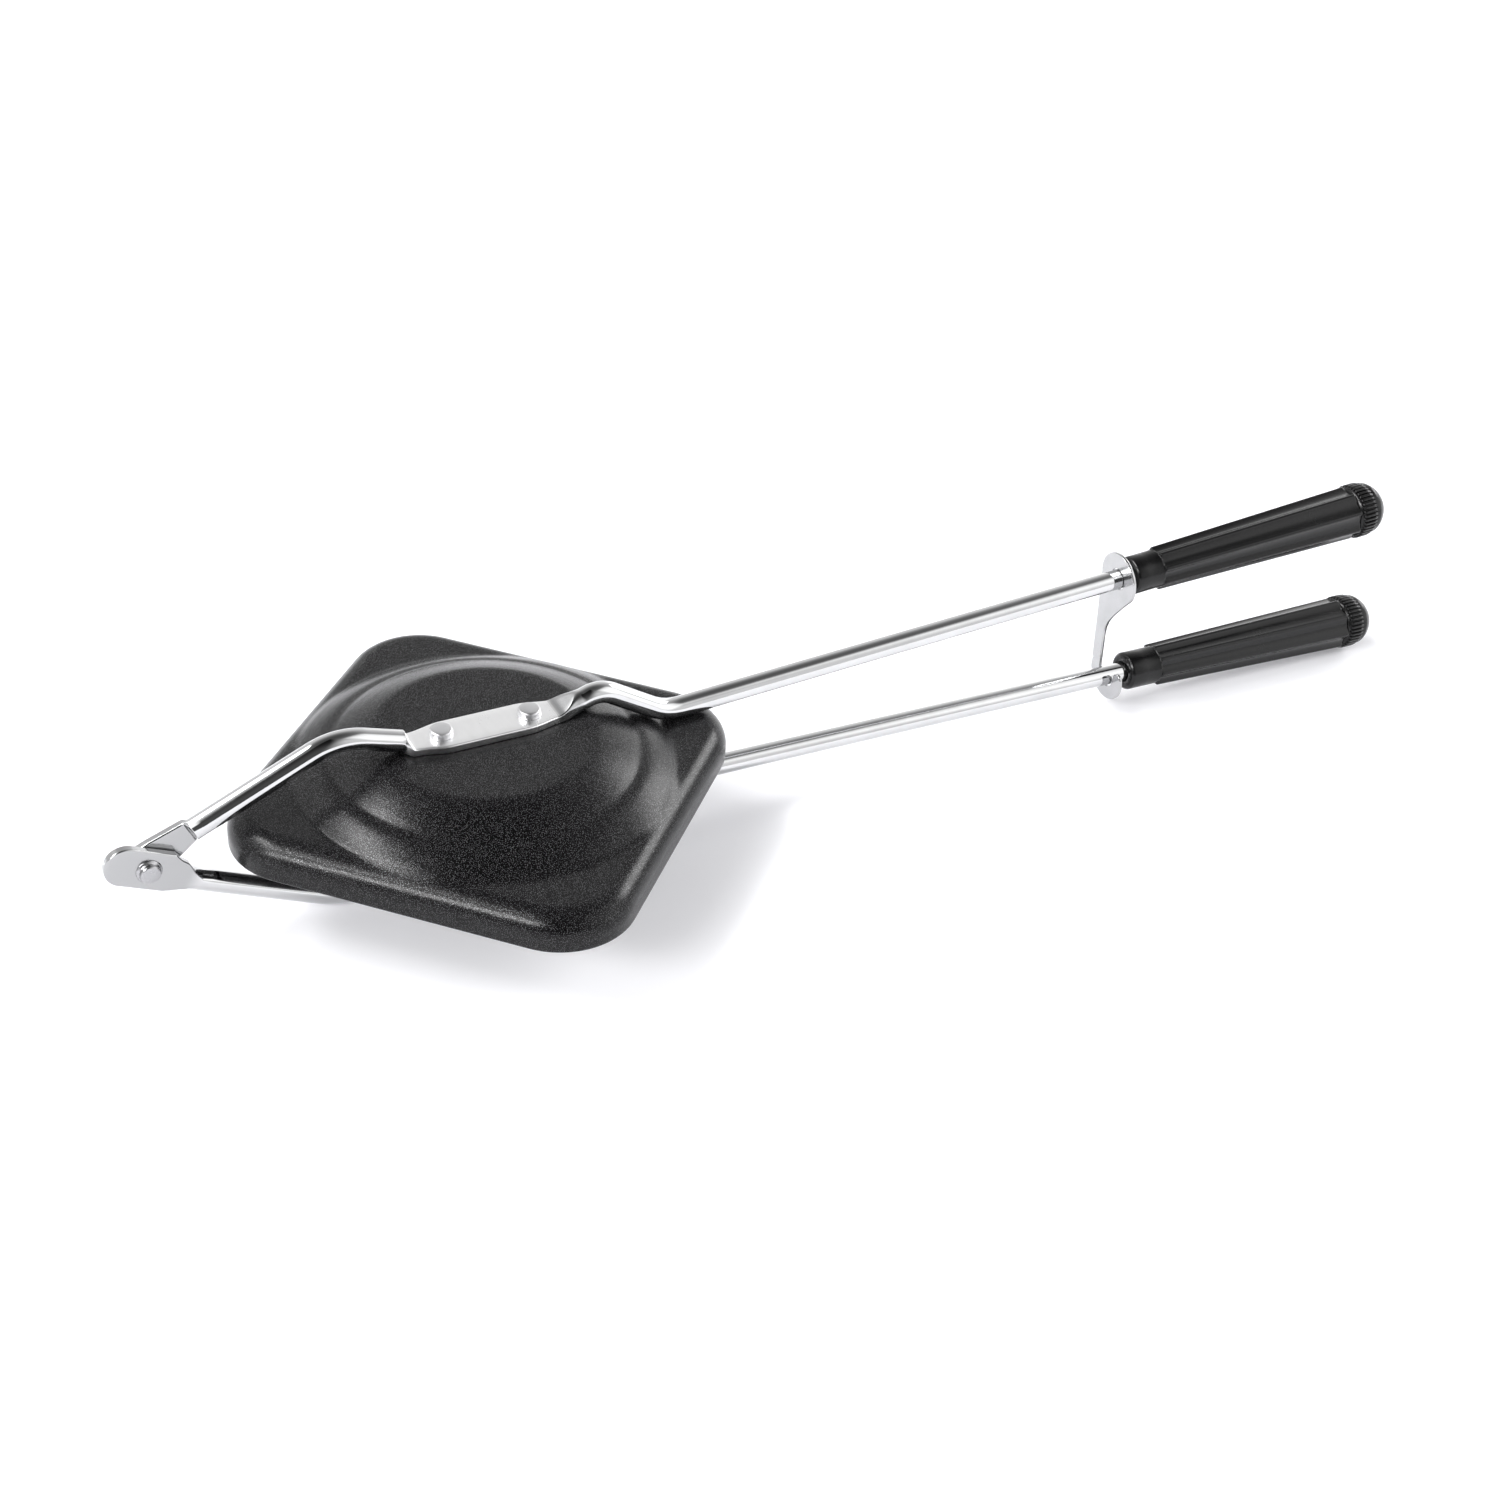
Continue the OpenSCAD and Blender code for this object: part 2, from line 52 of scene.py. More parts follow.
ROD_R, FLAT_T = 3.5, 2.7
PIN = np.array([-107.5, 0.0])
LEG_ANGLE, LEG_JOG = 25.0, 2.3
EAR_W, EAR_LEN, EAR_CRIMP, EAR_PAST, EAR_Y = 13.2, 13.5, 4.0, 6.4, 1.5
FRONT_BEND_X, FRONT_BEND_R = -47.6, 22.0
STRIP_LEN, STRIP_W, STRIP_END_W, STRIP_FLARE = 49.0, 13.8, 9.6, 12.0
FRONT_CRIMP, REAR_CRIMP, CRIMP_RISE = 3.2, 8.4, 0.3
REAR_BEND_X, REAR_BEND_H, REAR_BEND_R = 38.6, 6.0, 10.0
HANDLE_X, HANDLE_BEND_R, ROD_IN_GRIP = 61.7, 18.0, 26.0
EAR_CORNER_R, STRIP_CORNER_R = 0.55, 0.5
# Marks for the chrome: they set the stamped parts' roughness and their painted tone, shade on the ears and highlight on
# the strip.
EAR_MARK, STRIP_MARK = 0.5, 1.0

# Each half's handle and ear: z and angle at the handle's bend, the grip's start, the ear's length
# past the pin and its side, the collar's extra length, the ribs' turn in degrees, where the ear's
# flat ends, and rows of (place along the leg, outer edge, inner edge) for its shoulders.
UPPER = dict(z=11.7, a=3.4, grip=180.2, past=0.0, ear=1.0, collar=0.0, turn=17.3, flat_to=15.7,
             taper=((4, 6.6, -6.6), (9, 6.25, -4.4), (15.7, 5.8, -2.4), (17.5, 5.8, -1.2)))
LOWER = dict(z=15.1, a=1.3, grip=187.1, past=EAR_PAST + 0.8, ear=-1.0, collar=1.6, turn=2.5, flat_to=12.5,
             taper=((6.5, 6.6, -6.6), (9, 6.1, -5.0), (11.4, 5.4, -4.2), (14.3, 5.0, -2.0), (17.5, 5.8, -1.2)))

COLLAR_R, COLLAR_LEN, BODY_LEN, BODY_R1, BODY_R2 = 6.8, 11.4, 85.3, 7.7, 9.65
BODY_END = COLLAR_LEN + BODY_LEN
RIBS, RIB_CROWN, RIB_STEP, FLUTE_DEPTH = 8, 0.08, 0.3, 0.95
CAP_R, CAP_RIM, CAP_DOME, CAP_NECK = 9.95, 5.6, 8.0, 0.7
KNURLS, KNURL_DEPTH = 40, 0.85
HOOK_AT, HOOK_T, HOOK_REACH, HOOK_BEVEL = 176.0, 1.2, 41.35, 0.22
HOOK_HEAD_R, HOOK_FOOT_R, HOOK_LIP_R, HOOK_SLOT_R, HOOK_HOLE_R = 9.6, 9.0, 2.0, 4.1, 3.85

# Rivets' ends as (radius, height over the seat), from the middle out for a head and in for a tail
RIVET_X, PIN_HEAD_Y, PIN_TAIL_Y = 14.6, -2.85, 3.75
BUTTON = ((0.3, 2.42), (1.2, 2.41), (2.2, 2.37), (2.9, 2.31), (3.15, 2.27), (3.35, 2.18), (3.5, 2.0), (3.58, 1.8),
          (3.66, 1.2), (3.76, 0.6), (3.8, 0.3), (3.8, 0.02), (2.0, 0.0))
TAIL = ((2.0, 0.0), (3.4, 0.0), (3.4, 0.4), (3.2, 0.7), (2.8, 0.86), (0.4, 0.9))
PIN_HEAD = ((0.3, 2.3), (1.6, 2.28), (2.5, 2.22), (2.8, 2.15), (2.98, 2.0), (3.05, 1.8), (3.1, 1.2), (3.2, 0.75),
            (3.5, 0.55), (3.8, 0.4), (3.95, 0.2), (3.95, 0.02), (2.4, 0.0))
PEEN = ((2.4, 0.0), (3.7, 0.0), (3.7, 0.7), (3.4, 1.2), (2.8, 1.4), (0.4, 1.4))

# The camera fitted to the photograph: degrees, pixels of a square frame, mm
YAW, DIP, ROLL = 30.110, 35.773, 4.716
FRAME_PX, FOCAL_PX, SHIFT_PX = 1500, 2341.95, (-0.7, 1.35)
CAMERA_AT = (-223.54, -549.50, 444.15)

# The studio's soft panels: azimuth, elevation, half-width, half-height and edge in degrees, radiance
PANELS = (
    (158, 54, 18, 4.5, 5, 21),    # key, for the dome's steps at the front left
    (172, 53, 42, 8, 8, 1.6),     # the key's faint wings
    (-158, 34, 11, 5, 5, 28),     # streak along the front left edge
    (-34, 30, 20, 26, 16, 1.0),   # fill at the right
    (14, 27, 12, 10, 8, 8.5),     # dome's right side and the front right edge
    (38, 9, 18, 10, 14, 1.2),     # low, for the rods and the right corner
)
BEHIND_CAMERA = -116
FLOOR_SIZE, FLOOR_Z, FLOOR_COLOUR = 14, -0.0004, (0.85, 0.85, 0.87)
GLOW, GLOW_COLOUR = 0.2, (0.95, 0.95, 1)


def unit(a):
    return np.array([math.cos(math.radians(a)), math.sin(math.radians(a))])


def left(a):
    return np.array([-math.sin(math.radians(a)), math.cos(math.radians(a))])


def angle(v):
    return math.degrees(math.atan2(v[1], v[0]))


def smooth(t):
    t = np.clip(t, 0.0, 1.0)
    return t * t * (3 - 2 * t)


def lerp(a, b, t):
    return a + (b - a) * t


def circle(n):
    return np.arange(n) * 2 * math.pi / n


# ---- Meshes ----

def new_mesh(name, verts, faces):
    """A mesh in the frame's metres, from points in mm."""
    me = bpy.data.meshes.new(name)
    me.from_pydata(((np.asarray(verts, float) + [SHIFT, 0, LIFT]) / 1000).tolist(), [], faces)
    return me


def add_piece(name, me, body, node, material):
    """Show a mesh as a piece that rides on a body in place of a CAD node."""
    ob = bpy.data.objects.new(name, me)
    bpy.context.scene.collection.objects.link(ob)
    me.materials.append(material)
    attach(ob, body)
    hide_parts(node)


def make(name, verts, faces, body, slot, node, material, stamp_and_painted_tone=None):
    """A smooth piece from points in mm; the optional marks give each point the chrome's stamped finish and its painted
    tone.
    """
    me = new_mesh(name, verts, faces)
    if stamp_and_painted_tone is not None:
        me.attributes.new("stamp_and_painted_tone", "FLOAT", "POINT").data.foreach_set("value", np.asarray(stamp_and_painted_tone, np.float32))
    bm = bmesh.new()
    bm.from_mesh(me)
    bmesh.ops.remove_doubles(bm, verts=bm.verts, dist=1e-6)
    bmesh.ops.recalc_face_normals(bm, faces=bm.faces)
    bm.to_mesh(me)
    bm.free()
    me.polygons.foreach_set("use_smooth", [True] * len(me.polygons))
    add_piece(name, me, body, node, material)


def skin(rings):
    """Verts and faces over closed rings of equal length, with a fan at each end."""
    rings = np.asarray(rings, float)
    m, n = rings.shape[:2]
    verts = rings.reshape(-1, 3).tolist()
    faces = []
    for i in range(m - 1):
        a, b = i * n, (i + 1) * n
        for j in range(n):
            k = (j + 1) % n
            faces.append((a + j, a + k, b + k, b + j))
    for i in (0, m - 1):
        faces += [(i * n + j, i * n + (j + 1) % n, len(verts)) for j in range(n)]
        verts.append(rings[i].mean(0).tolist())
    return verts, faces


# ---- Plates ----

def profile_of_dome():
    """Height of the dome over the plate's flat against radius: two bulging steps and a soft disc."""
    grid = 0.05
    r = np.linspace(0, 90, 1801)
    radii, heights = zip((0, DOME_H), (DISC_R - 0.1, DOME_H), (38.2, 10.75), (42.0, 9.15), (46.0, 7.2), (48.6, 5.65),
                         (50.2, 5.45), (51.6, 5.0), (54.0, 3.85), (57.2, 2.0), (FOOT_R, 0.0), (90, 0.0))
    k = np.exp(-0.5 * (np.arange(-60, 61) * grid / DOME_BLUR) ** 2)
    z = np.pad(np.interp(r, radii, heights), 60, mode="edge")
    return r, np.convolve(z, k / k.sum(), "valid")


DOME_GRID, DOME_Z = profile_of_dome()


def face_z(r):
    """Height of a plate's outer face at radius r."""
    return PLATE_H + np.interp(r, DOME_GRID, DOME_Z)


def reach_at(theta, half, corner):
    """Distance from the centre to a rounded square, turned by 45 degrees, at angles theta."""
    a, b = np.abs(np.cos(theta - math.pi / 4)), np.abs(np.sin(theta - math.pi / 4))
    flat = half / np.maximum(a, b)
    c = half - corner
    dot = c * (a + b)
    arc = dot + np.sqrt(np.maximum(dot**2 - 2 * c * c + corner * corner, 0))
    return np.where(flat * np.minimum(a, b) <= c, flat, arc)


def plate(name, side, corner, bottom, body, node, flip, material):
    """A pressed plate as rings: its outer face, edge and skirt, the lip round its rim, its inner face."""
    theta = circle(360)

    def ring(r, z):
        r = r * np.ones_like(theta)
        return np.stack([r * np.cos(theta), r * np.sin(theta), z * np.ones_like(theta)], 1)

    half = side / 2
    flat_r = half - EDGE_R - 1.2
    outer = [ring(r, face_z(r)) for r in (*np.linspace(0.6, 33, 22), *np.linspace(33.8, flat_r, 32))]
    for w in np.linspace(0, 1, 20)[1:]:
        r = lerp(flat_r, reach_at(theta, half - EDGE_R, corner - EDGE_R), w)
        outer.append(ring(r, face_z(r)))
    for phi in np.radians(np.linspace(0, 90, 15)[1:]):
        inset = EDGE_R * (1 - math.sin(phi))
        r = reach_at(theta, half - inset, corner - inset)
        outer.append(ring(r, face_z(r) - EDGE_R * (1 - math.cos(phi))))
    outer = np.array(outer)
    down = np.roll(outer, -1, 0) - np.roll(outer, 1, 0)
    down[0], down[-1] = outer[1] - outer[0], [0, 0, -1]
    normal = np.cross(down, np.roll(outer, -1, 1) - np.roll(outer, 1, 1))
    normal /= np.linalg.norm(normal, axis=2, keepdims=True)
    inner = outer - normal * SHEET_T
    lip = SHEET_T / 2
    (xy, z), (xy_in, z_in) = ((e[-1][:, :2], e[-1][:, 2]) for e in (outer, inner))
    wall = [(xy, lerp(z, bottom + lip, w)) for w in np.linspace(0, 1, 6)[1:]]
    for a in np.radians(np.linspace(0, 180, 9)[1:]):
        lip_z = bottom + lip * (1 - math.sin(a))
        wall.append((xy - normal[-1][:, :2] * lip * (1 - math.cos(a)), np.full_like(z, lip_z)))
    wall += [(xy_in, lerp(bottom + lip, z_in, w)) for w in np.linspace(0, 1, 5)[1:-1]]
    rings = np.concatenate([outer, [np.column_stack(level) for level in wall], inner[::-1]])
    if flip:
        rings[:, :, 2] *= -1
    make(name, *skin(rings), body, "coating", node, material)


# ---- Rods ----

def section(a, b, corner, arc_n=8, flat_n=5):
    """Outline of a rounded rectangle: half-size a across the path in its plane, b across that plane."""
    arcs = []
    for sa, sb, start in ((1, 1, 0), (-1, 1, 90), (-1, -1, 180), (1, -1, 270)):
        turns = [math.radians(start + 90 * k / arc_n) for k in range(arc_n + 1)]
        arcs.append([(sa * (a - corner) + corner * math.cos(t), sb * (b - corner) + corner * math.sin(t))
                     for t in turns])
    out = []
    for arc, following in zip(arcs, arcs[1:] + arcs[:1]):
        p, q = arc[-1], following[0]
        out += arc + [(lerp(p[0], q[0], k / flat_n), lerp(p[1], q[1], k / flat_n)) for k in range(1, flat_n)]
    return out


def straight(p, q, step):
    n = max(2, int(np.linalg.norm(q - p) / step))
    return [(lerp(p, q, k / n), angle(q - p)) for k in range(n + 1)]


def bend(p, a1, a2, r, step):
    """Places and directions round the corner at p, on an arc of radius r, and the arc's reach from p."""
    reach = r * math.tan(math.radians(abs(a2 - a1) / 2))
    out_by = r if a2 > a1 else -r
    centre = p - unit(a1) * reach + left(a1) * out_by
    n = max(6, int(math.radians(abs(a2 - a1)) * r / step))
    turns = [lerp(a1, a2, k / n) for k in range(n + 1)]
    return [(centre - left(a) * out_by, a) for a in turns], reach


def bar(points, steps, bends):
    """Stations of the round bar: straight runs at the given steps, with a (radius, step) at each corner."""
    dirs = [angle(q - p) for p, q in zip(points, points[1:])]
    path, start = [], points[0]
    for corner, a1, a2, step, (r, arc_step) in zip(points[1:], dirs, dirs[1:], steps, bends):
        arc, reach = bend(corner, a1, a2, r, arc_step)
        path += straight(start, corner - unit(a1) * reach, step)[1:] + arc
        start = corner + unit(a2) * reach
    path += straight(start, points[-1], steps[-1])[1:]
    return [(p, a, 0, ROD_R, ROD_R, ROD_R, 0) for p, a in path]


def ear(h):
    """Stations of the flat ear, from its round tip past its shoulders to the round leg."""
    leg, half_w, half_t, y = unit(LEG_ANGLE), EAR_W / 2, FLAT_T / 2, h["ear"] * EAR_Y
    taper, flat_to, end = np.array(h["taper"], float), h["flat_to"], EAR_LEN + EAR_CRIMP
    st = []
    for k in range(15):
        t = math.radians(lerp(4, 90, k / 14))
        st.append((PIN - leg * (h["past"] + half_w * math.cos(t)), LEG_ANGLE, y, half_w * math.sin(t),
                   half_t * lerp(0.62, 1, smooth(k / 4)), 0.45 if k > 2 else 0.3, EAR_MARK))
    for s in np.linspace(-h["past"], taper[0, 0], 8)[1:]:
        st.append((PIN + leg * s, LEG_ANGLE, y, half_w, half_t, EAR_CORNER_R, EAR_MARK))
    for s in (*np.linspace(taper[0, 0], flat_to, 14)[1:], *np.linspace(flat_to, end, 14)[1:]):
        outer, inner = (np.interp(s, taper[:, 0], taper[:, i]) for i in (1, 2))
        t = smooth((s - flat_to) / (end - flat_to))
        a, b = (outer - inner) / 2, lerp(half_t, ROD_R, t)
        st.append((PIN + leg * s + left(LEG_ANGLE) * (outer + inner) / 2, LEG_ANGLE, y * (1 - t), a, b,
                   min(a, b, lerp(EAR_CORNER_R, ROD_R, t)), EAR_MARK * (1 - t)))
    return st


def strip_half(x):
    """Half of the strip's width at x: it flares from its ends to its middle."""
    return lerp(STRIP_END_W / 2, STRIP_W / 2, smooth((STRIP_LEN / 2 - abs(x)) / STRIP_FLARE))


def strip(front, rear, a_front, a_rear):
    """Stations of the riveted strip, with the crimps that join it to the bar at front and at rear."""
    z, half_t, x0, x1 = DISC_Z + FLAT_T / 2, FLAT_T / 2, -STRIP_LEN / 2, STRIP_LEN / 2 - 2.4
    st = []
    for t in np.arange(1, 13) / 12:
        f = smooth(t)
        a = lerp(ROD_R, half_t, f)
        st.append((lerp(front, np.array([x0, z]), np.array([t, f])), a_front * (1 - f), 0, a,
                   lerp(ROD_R, strip_half(x0), f), min(lerp(ROD_R, STRIP_CORNER_R, smooth(t * 1.15)), a),
                   STRIP_MARK * smooth(t * 3)))
    for x in (*np.linspace(x0, x0 + STRIP_FLARE, 12)[1:], *np.linspace(-12, 12, 10)[1:-1],
              *np.linspace(STRIP_LEN / 2 - STRIP_FLARE, x1, 12)):
        st.append((np.array([x, z]), 0, 0, half_t, strip_half(x), STRIP_CORNER_R, STRIP_MARK))
    for t in np.arange(1, 19) / 18:
        f = smooth(t)
        a, b = lerp(half_t, ROD_R, f), lerp(strip_half(x1), ROD_R, smooth(t * 1.1))
        # Painted shade: the rear crimp keeps the ears' mark, so its chrome is darker along the crease.
        mark = lerp(lerp(STRIP_MARK, EAR_MARK, smooth(t / 0.15)), 0, smooth((t - 0.75) / 0.25))
        st.append((lerp(np.array([x1, z]), rear, np.array([t, (t**1.4 + f) / 2])), a_rear * f, 0, a, b,
                   min(a, b, lerp(STRIP_CORNER_R, ROD_R, smooth((t - 0.25) / 0.75))), mark))
    return st


def rod_stations(h):
    """Stations along a rod: place, direction, shift in y, half-sizes, corner radius and stamp, the mark for the stamped
    finish and the painted tone.
    """
    leg, foot = unit(LEG_ANGLE), PIN + left(LEG_ANGLE) * LEG_JOG
    leg_start = foot + leg * (EAR_LEN + EAR_CRIMP)
    front_bend = foot + leg * (FRONT_BEND_X - foot[0]) / leg[0]
    crimp_z = DISC_Z + CRIMP_RISE + ROD_R
    front = np.array([-STRIP_LEN / 2 - FRONT_CRIMP, crimp_z])
    rear = np.array([STRIP_LEN / 2 + REAR_CRIMP, crimp_z])
    rear_bend = np.array([REAR_BEND_X, DISC_Z + REAR_BEND_H])
    handle_bend = np.array([HANDLE_X, h["z"]])
    end = handle_bend + unit(h["a"]) * (h["grip"] + ROD_IN_GRIP)
    return (ear(h) + bar([leg_start, front_bend, front], [3.0, 1.0], [(FRONT_BEND_R, 0.8)])
            + strip(front, rear, angle(front - front_bend), angle(rear_bend - rear))
            + bar([rear, rear_bend, handle_bend, end], [1.0, 2.0, 6.0], [(REAR_BEND_R, 0.6), (HANDLE_BEND_R, 0.8)]))


def rod(name, h, body, node, flip, material):
    rings, stamp_and_painted_tone, last = [], [], None
    for p, a, y, half_a, half_b, corner, mark in rod_stations(h):
        if last is not None and np.linalg.norm(p - last) < 0.02:
            continue
        last = p
        across = left(a)
        ring = [(p[0] + across[0] * u, y + v, p[1] + across[1] * u) for u, v in section(half_a, half_b, corner)]
        rings.append(ring)
        stamp_and_painted_tone += [mark] * len(ring)
    rings = np.array(rings)
    if flip:
        rings[:, :, 2] *= -1
    make(name, *skin(rings), body, "chrome", node, material, stamp_and_painted_tone + [1, 0])


# ---- Grips, caps and the hook, drawn along the handle ----

def on_handle(h, flip, along, y, up):
    """Points along the handle, across it and square to it, in the plates' frame."""
    d, square = unit(h["a"]), left(h["a"])
    x = HANDLE_X + d[0] * along + square[0] * up
    z = h["z"] + d[1] * along + square[1] * up
    return np.stack([x, y, -z if flip else z], -1)


def handle_rings(h, flip, theta, levels):
    """Rings round the handle's axis at each (place along the grip, radius)."""
    return [on_handle(h, flip, h["grip"] + z, r * np.cos(theta), r * np.sin(theta)) for z, r in levels]


def fluted(r, theta):
    """Radius over softened ribs and flutes at angles theta, for a body of radius r over its ribs."""
    pitch = 2 * math.pi / RIBS
    off_rib = np.abs((theta + pitch / 2) % pitch - pitch / 2) * r
    half = pitch / 2 * r
    drop = RIB_CROWN * np.clip(off_rib / 0.6, 0, 1) ** 2 + RIB_STEP * smooth((off_rib - 0.5) / 0.5)
    drop += FLUTE_DEPTH * (1 - np.clip((half - off_rib) / (half - 0.8), 0, 1) ** 2)
    k = np.exp(-0.5 * (np.arange(-6, 7) / 2) ** 2)
    return sum(w * np.roll(r - drop, i - 6) for i, w in enumerate(k / k.sum()))


def grip(name, h, body, node, flip, material):
    """A grip: its collar, the step up to the body, the fluted body and its rounded end."""
    theta = circle(480)
    levels = [(z - h["collar"], r) for z, r in (
        (2.0, 3.7), (0.2, 3.7), (0.0, 3.9), (0.0, COLLAR_R - 1.1), (0.06, COLLAR_R - 0.9), (0.9, COLLAR_R - 0.1),
        (1.2, COLLAR_R))]
    levels += [(5.5, COLLAR_R), (COLLAR_LEN - 0.35, COLLAR_R), (COLLAR_LEN - 0.05, COLLAR_R + 0.1)]
    for z, f in ((0.0, 0.35), (0.02, 0.75), (0.12, 0.9), (0.35, 0.98), (0.7, 1.0)):
        levels.append((COLLAR_LEN + z, lerp(COLLAR_R + 0.1, fluted(BODY_R1, theta), f)))
    for z in np.linspace(1.2, BODY_LEN - 1.0, 36):
        levels.append((COLLAR_LEN + z, fluted(lerp(BODY_R1, BODY_R2, z / BODY_LEN), theta)))
    for z, drop in ((0.45, 0.0), (0.12, 0.25), (0.0, 0.7), (0.0, 3.0)):
        levels.append((BODY_END - z, fluted(BODY_R2, theta) - drop))
    # The levels' radii are set at theta; the turn moves the ribs round to their place.
    rings = handle_rings(h, flip, theta + math.radians(h["turn"]), levels)
    make(name, *skin(rings), body, "bakelite", node, material)


def cap(name, h, body, node, flip, material):
    """An end cap: its neck, a knurled rim and a domed end."""
    theta = circle(KNURLS * 12)
    groove = KNURL_DEPTH * (1 - smooth(0.75 + 0.75 * np.cos(theta * KNURLS)))
    rim, base = BODY_END + CAP_NECK, BODY_END + CAP_NECK + CAP_RIM
    levels = [(BODY_END + 0.05, 6.0), (BODY_END + 0.05, CAP_R - 1.3), (rim - 0.05, CAP_R - 1.2), (rim, CAP_R - 1.1)]
    for z, out, depth in ((0.05, -0.75, 0.3), (0.25, -0.3, 0.8), (0.55, -0.05, 1), (0.9, 0, 1), (2.0, 0, 1),
                          (3.2, 0, 1), (4.3, 0, 1), (5.0, -0.08, 1), (5.35, -0.25, 0.75), (CAP_RIM, -0.5, 0.35)):
        levels.append((rim + z, CAP_R + out - groove * depth))
    ball = (CAP_R**2 + CAP_DOME**2) / (2 * CAP_DOME)
    for t in np.linspace(0.06, 0.985, 16):
        r = math.sqrt(max(ball**2 - (ball - CAP_DOME * (1 - t)) ** 2, 0.01))
        levels.append((base + CAP_DOME * t, min(r, CAP_R - 0.62)))
    make(name, *skin(handle_rings(h, flip, theta, levels)), body, "bakelite", node, material)


def arc(cx, cy, r, a, b, n):
    """Points on an arc from a to b degrees."""
    turns = [math.radians(lerp(a, b, k / n)) for k in range(n + 1)]
    return [(cx + r * math.cos(t), cy + r * math.sin(t)) for t in turns]


def hook(material):
    """The latch: a plate with a hole and bevelled edges, square to the upper rod."""
    w = -HOOK_REACH
    line = arc(0, 0, HOOK_HEAD_R, 218, -12, 48)
    line += [(9.45, -6.0), (9.3, -12.0), (9.1, -20.0), (9.05, -28.0), (9.0, w + 4)]
    line += arc(0, w, HOOK_FOOT_R, 20, -170, 40)
    line += [(-8.95, w + 0.4), (-8.7, w + 2.4)]
    line += arc(-6.6, w + 2.2, HOOK_LIP_R, 165, 20, 10)
    line += [(-4.25, w + 1.2)]
    line += arc(0, w, HOOK_SLOT_R, 188, 360, 22)
    line += [(4.1, w + 3), (4.15, w + 9), (4.1, w + 15), (3.7, w + 18.4), (2.6, w + 21.4), (0.6, w + 24.8),
             (-2.2, w + 28.6), (-5.2, w + 32.6)]
    outline = np.array(line)[::-1]
    tangent = np.roll(outline, -1, 0) - np.roll(outline, 1, 0)
    tangent /= np.linalg.norm(tangent, axis=1, keepdims=True)
    hole = np.array(arc(0, 0, HOOK_HOLE_R, 0, 360, 40)[:-1])
    levels = [(0.0, -HOOK_BEVEL), (0.06, -HOOK_BEVEL * 0.3), (HOOK_BEVEL, 0.0), (HOOK_T - HOOK_BEVEL, 0.0),
              (HOOK_T - 0.06, -HOOK_BEVEL * 0.3), (HOOK_T, -HOOK_BEVEL)]
    verts, faces, rims = [], [], []
    for loop, out in ((outline, np.stack([tangent[:, 1], -tangent[:, 0]], 1)), (hole, -hole / HOOK_HOLE_R)):
        base, m = len(verts), len(loop)
        for z, grow in levels:
            p = loop + out * grow
            verts += on_handle(UPPER, False, HOOK_AT + z, p[:, 0], p[:, 1]).tolist()
        for i in range(len(levels) - 1):
            a, b = base + i * m, base + (i + 1) * m
            faces += [(a + j, a + (j + 1) % m, b + (j + 1) % m, b + j) for j in range(m)]
        rims.append([[start + j for j in range(m)] for start in (base, base + (len(levels) - 1) * m)])
    me = new_mesh("hook_blank", verts, faces)
    bm = bmesh.new()
    bm.from_mesh(me)
    bm.verts.ensure_lookup_table()
    for face_rims in zip(*rims):
        edges = [bm.edges.get((bm.verts[i], bm.verts[j])) for rim in face_rims for i, j in zip(rim, rim[1:] + rim[:1])]
        bmesh.ops.triangle_fill(bm, edges=edges, use_beauty=True, use_dissolve=False)
    bmesh.ops.recalc_face_normals(bm, faces=bm.faces)
    for f in bm.faces:
        f.smooth = len(f.verts) == 4
    bm.to_mesh(me)
    bm.free()
    add_piece("hook_plate", me, "hook", "latch_hook", material)


def turned(name, head, tail, ends, body, node, material):
    """Rivets with turned heads and tails; ends holds each one's head seat, axis and tail seat."""
    verts, faces = [], []
    a = circle(72)
    for head_seat, axis, tail_seat in ends:
        axis = np.array(axis, float)
        u = np.array([0.0, 1.0, 0.0]) if abs(axis[1]) < 0.5 else np.array([1.0, 0.0, 0.0])
        around = np.outer(np.cos(a), u) + np.outer(np.sin(a), np.cross(axis, u))
        rings = [np.array(head_seat) + axis * z + around * r for r, z in head]
        rings += [np.array(tail_seat) - axis * z + around * r for r, z in tail]
        more_verts, more_faces = skin(rings)
        faces += [tuple(i + len(verts) for i in f) for f in more_faces]
        verts += more_verts
    make(name, verts, faces, body, "rivet_steel", node, material)


# ---- Materials ----

